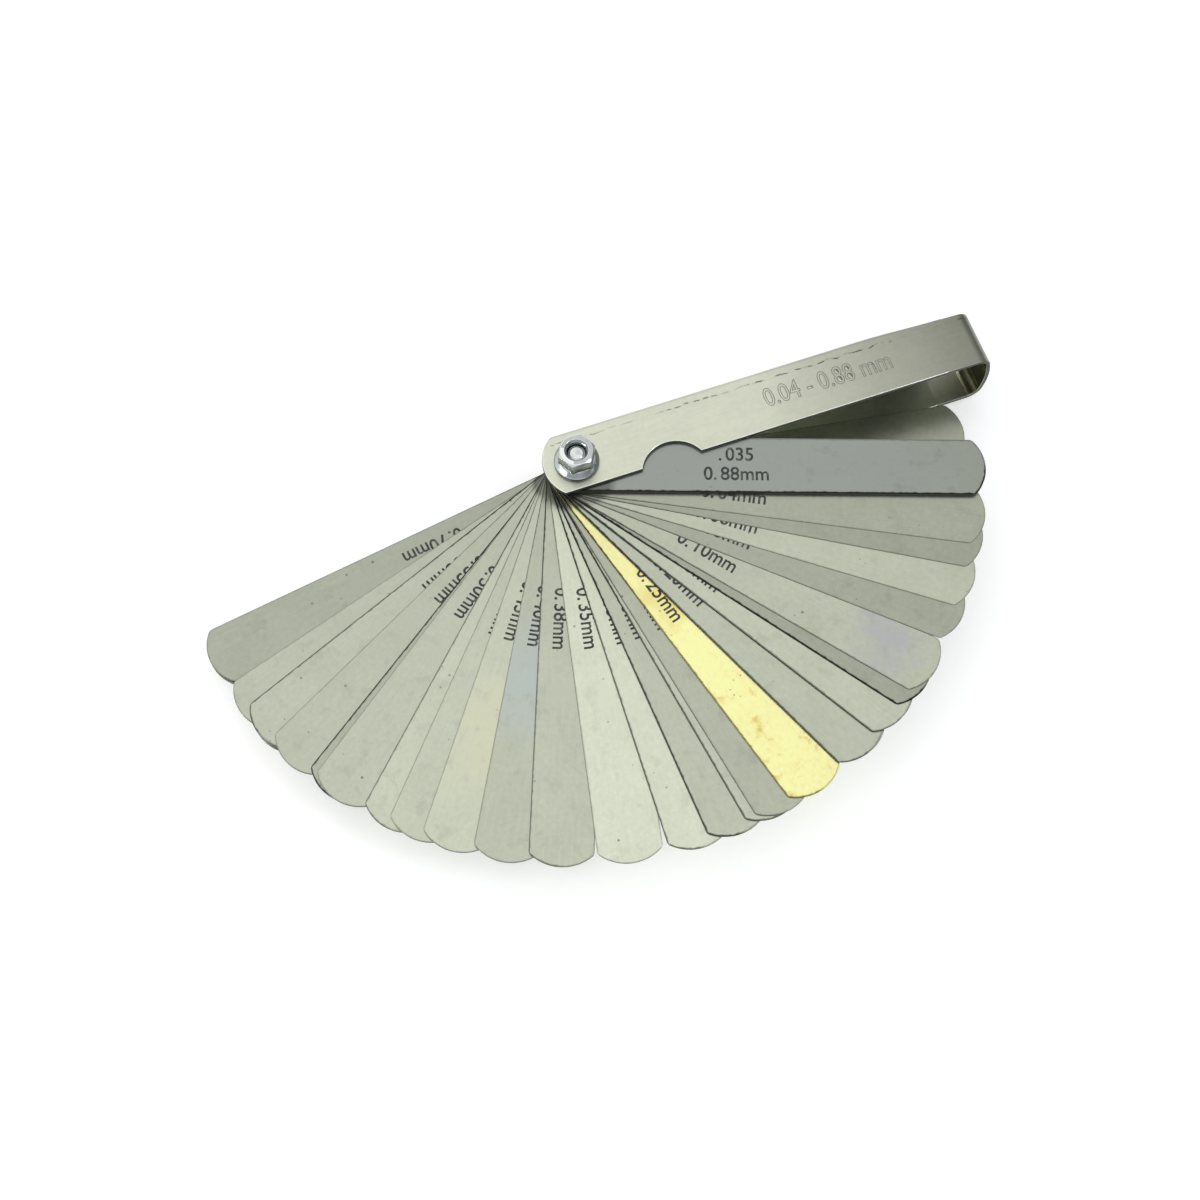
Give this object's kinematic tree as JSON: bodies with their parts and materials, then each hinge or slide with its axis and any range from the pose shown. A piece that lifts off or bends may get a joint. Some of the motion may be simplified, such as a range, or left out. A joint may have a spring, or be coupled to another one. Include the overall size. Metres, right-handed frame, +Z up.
{
  "type": "feeler gauge",
  "caption": "Fanned set of thin steel gauging leaves that turn on one screw and nut at the end of a folded steel case with a thumb notch.",
  "frame": {"origin": "on the pivot screw's axis, level with the underside of the case's base plate", "axes": "+X along the case from the pivot to its closed far end, -Y out of the case's open front, +Z up through the stack of leaves towards the nut"},
  "size_m": [0.1756, 0.0923, 0.0224],
  "materials": {
    "case_steel": "warm off-white satin sheet steel with scuffed edges",
    "screw_steel": "plated steel, turned",
    "nut_zinc": "bright bluish zinc plating",
    "leaf_steel": "pale grey rolled spring steel with fine specks and stains",
    "leaf_brass": "rolled brass, bright yellow with brown stains"
  },
  "bodies": {
    "holder": {"case": "case_steel", "pivot_screw": "screw_steel", "flange_nut": "nut_zinc"},
    "leaf_0_88": {"leaf_0_88": "leaf_steel"},
    "leaf_0_04": {"leaf_0_04": "leaf_steel"},
    "leaf_0_05": {"leaf_0_05": "leaf_steel"},
    "leaf_0_06": {"leaf_0_06": "leaf_steel"},
    "leaf_0_08": {"leaf_0_08": "leaf_steel"},
    "leaf_0_10": {"leaf_0_10": "leaf_steel"},
    "leaf_0_13": {"leaf_0_13": "leaf_steel"},
    "leaf_0_15": {"leaf_0_15": "leaf_steel"},
    "leaf_0_18": {"leaf_0_18": "leaf_steel"},
    "leaf_0_20": {"leaf_0_20": "leaf_steel"},
    "leaf_0_23": {"leaf_0_23": "leaf_steel"},
    "leaf_0_25_brass": {"leaf_0_25_brass": "leaf_brass"},
    "leaf_0_25": {"leaf_0_25": "leaf_steel"},
    "leaf_0_28": {"leaf_0_28": "leaf_steel"},
    "leaf_0_30": {"leaf_0_30": "leaf_steel"},
    "leaf_0_33": {"leaf_0_33": "leaf_steel"},
    "leaf_0_35": {"leaf_0_35": "leaf_steel"},
    "leaf_0_38": {"leaf_0_38": "leaf_steel"},
    "leaf_0_40": {"leaf_0_40": "leaf_steel"},
    "leaf_0_43": {"leaf_0_43": "leaf_steel"},
    "leaf_0_45": {"leaf_0_45": "leaf_steel"},
    "leaf_0_48": {"leaf_0_48": "leaf_steel"},
    "leaf_0_50": {"leaf_0_50": "leaf_steel"},
    "leaf_0_53": {"leaf_0_53": "leaf_steel"},
    "leaf_0_55": {"leaf_0_55": "leaf_steel"},
    "leaf_0_58": {"leaf_0_58": "leaf_steel"},
    "leaf_0_60": {"leaf_0_60": "leaf_steel"},
    "leaf_0_63": {"leaf_0_63": "leaf_steel"},
    "leaf_0_65": {"leaf_0_65": "leaf_steel"},
    "leaf_0_70": {"leaf_0_70": "leaf_steel"},
    "leaf_0_75": {"leaf_0_75": "leaf_steel"},
    "leaf_0_80": {"leaf_0_80": "leaf_steel"}
  },
  "joints": [
    {"name": "swing_0_88", "type": "hinge", "parent": "holder", "child": "leaf_0_88", "pos_m": [0, 0, 0], "axis": [0, 0, 1], "range_deg": [-160, 20]},
    {"name": "swing_0_04", "type": "hinge", "parent": "holder", "child": "leaf_0_04", "pos_m": [0, 0, 0], "axis": [0, 0, 1], "range_deg": [-152.5, 27.5]},
    {"name": "swing_0_05", "type": "hinge", "parent": "holder", "child": "leaf_0_05", "pos_m": [0, 0, 0], "axis": [0, 0, 1], "range_deg": [-148.75, 31.25]},
    {"name": "swing_0_06", "type": "hinge", "parent": "holder", "child": "leaf_0_06", "pos_m": [0, 0, 0], "axis": [0, 0, 1], "range_deg": [-142.5, 37.5]},
    {"name": "swing_0_08", "type": "hinge", "parent": "holder", "child": "leaf_0_08", "pos_m": [0, 0, 0], "axis": [0, 0, 1], "range_deg": [-137, 43]},
    {"name": "swing_0_10", "type": "hinge", "parent": "holder", "child": "leaf_0_10", "pos_m": [0, 0, 0], "axis": [0, 0, 1], "range_deg": [-128, 52]},
    {"name": "swing_0_13", "type": "hinge", "parent": "holder", "child": "leaf_0_13", "pos_m": [0, 0, 0], "axis": [0, 0, 1], "range_deg": [-125.25, 54.75]},
    {"name": "swing_0_15", "type": "hinge", "parent": "holder", "child": "leaf_0_15", "pos_m": [0, 0, 0], "axis": [0, 0, 1], "range_deg": [-120, 60]},
    {"name": "swing_0_18", "type": "hinge", "parent": "holder", "child": "leaf_0_18", "pos_m": [0, 0, 0], "axis": [0, 0, 1], "range_deg": [-120.5, 59.5]},
    {"name": "swing_0_20", "type": "hinge", "parent": "holder", "child": "leaf_0_20", "pos_m": [0, 0, 0], "axis": [0, 0, 1], "range_deg": [-113.5, 66.5]},
    {"name": "swing_0_23", "type": "hinge", "parent": "holder", "child": "leaf_0_23", "pos_m": [0, 0, 0], "axis": [0, 0, 1], "range_deg": [-114, 66]},
    {"name": "swing_0_25_brass", "type": "hinge", "parent": "holder", "child": "leaf_0_25_brass", "pos_m": [0, 0, 0], "axis": [0, 0, 1], "range_deg": [-105, 75]},
    {"name": "swing_0_25", "type": "hinge", "parent": "holder", "child": "leaf_0_25", "pos_m": [0, 0, 0], "axis": [0, 0, 1], "range_deg": [-100, 80]},
    {"name": "swing_0_28", "type": "hinge", "parent": "holder", "child": "leaf_0_28", "pos_m": [0, 0, 0], "axis": [0, 0, 1], "range_deg": [-98.5, 81.5]},
    {"name": "swing_0_30", "type": "hinge", "parent": "holder", "child": "leaf_0_30", "pos_m": [0, 0, 0], "axis": [0, 0, 1], "range_deg": [-93, 87]},
    {"name": "swing_0_33", "type": "hinge", "parent": "holder", "child": "leaf_0_33", "pos_m": [0, 0, 0], "axis": [0, 0, 1], "range_deg": [-87.5, 92.5]},
    {"name": "swing_0_35", "type": "hinge", "parent": "holder", "child": "leaf_0_35", "pos_m": [0, 0, 0], "axis": [0, 0, 1], "range_deg": [-78, 102]},
    {"name": "swing_0_38", "type": "hinge", "parent": "holder", "child": "leaf_0_38", "pos_m": [0, 0, 0], "axis": [0, 0, 1], "range_deg": [-68.75, 111.25]},
    {"name": "swing_0_40", "type": "hinge", "parent": "holder", "child": "leaf_0_40", "pos_m": [0, 0, 0], "axis": [0, 0, 1], "range_deg": [-61.25, 118.75]},
    {"name": "swing_0_43", "type": "hinge", "parent": "holder", "child": "leaf_0_43", "pos_m": [0, 0, 0], "axis": [0, 0, 1], "range_deg": [-54, 126]},
    {"name": "swing_0_45", "type": "hinge", "parent": "holder", "child": "leaf_0_45", "pos_m": [0, 0, 0], "axis": [0, 0, 1], "range_deg": [-49, 131]},
    {"name": "swing_0_48", "type": "hinge", "parent": "holder", "child": "leaf_0_48", "pos_m": [0, 0, 0], "axis": [0, 0, 1], "range_deg": [-45, 135]},
    {"name": "swing_0_50", "type": "hinge", "parent": "holder", "child": "leaf_0_50", "pos_m": [0, 0, 0], "axis": [0, 0, 1], "range_deg": [-36.75, 143.25]},
    {"name": "swing_0_53", "type": "hinge", "parent": "holder", "child": "leaf_0_53", "pos_m": [0, 0, 0], "axis": [0, 0, 1], "range_deg": [-35.5, 144.5]},
    {"name": "swing_0_55", "type": "hinge", "parent": "holder", "child": "leaf_0_55", "pos_m": [0, 0, 0], "axis": [0, 0, 1], "range_deg": [-28.25, 151.75]},
    {"name": "swing_0_58", "type": "hinge", "parent": "holder", "child": "leaf_0_58", "pos_m": [0, 0, 0], "axis": [0, 0, 1], "range_deg": [-22.25, 157.75]},
    {"name": "swing_0_60", "type": "hinge", "parent": "holder", "child": "leaf_0_60", "pos_m": [0, 0, 0], "axis": [0, 0, 1], "range_deg": [-22.5, 157.5]},
    {"name": "swing_0_63", "type": "hinge", "parent": "holder", "child": "leaf_0_63", "pos_m": [0, 0, 0], "axis": [0, 0, 1], "range_deg": [-22.75, 157.25]},
    {"name": "swing_0_65", "type": "hinge", "parent": "holder", "child": "leaf_0_65", "pos_m": [0, 0, 0], "axis": [0, 0, 1], "range_deg": [-17.5, 162.5]},
    {"name": "swing_0_70", "type": "hinge", "parent": "holder", "child": "leaf_0_70", "pos_m": [0, 0, 0], "axis": [0, 0, 1], "range_deg": [-8.5, 171.5]},
    {"name": "swing_0_75", "type": "hinge", "parent": "holder", "child": "leaf_0_75", "pos_m": [0, 0, 0], "axis": [0, 0, 1], "range_deg": [-8.75, 171.25]},
    {"name": "swing_0_80", "type": "hinge", "parent": "holder", "child": "leaf_0_80", "pos_m": [0, 0, 0], "axis": [0, 0, 1], "range_deg": [-170.75, 9.25]}
  ]
}
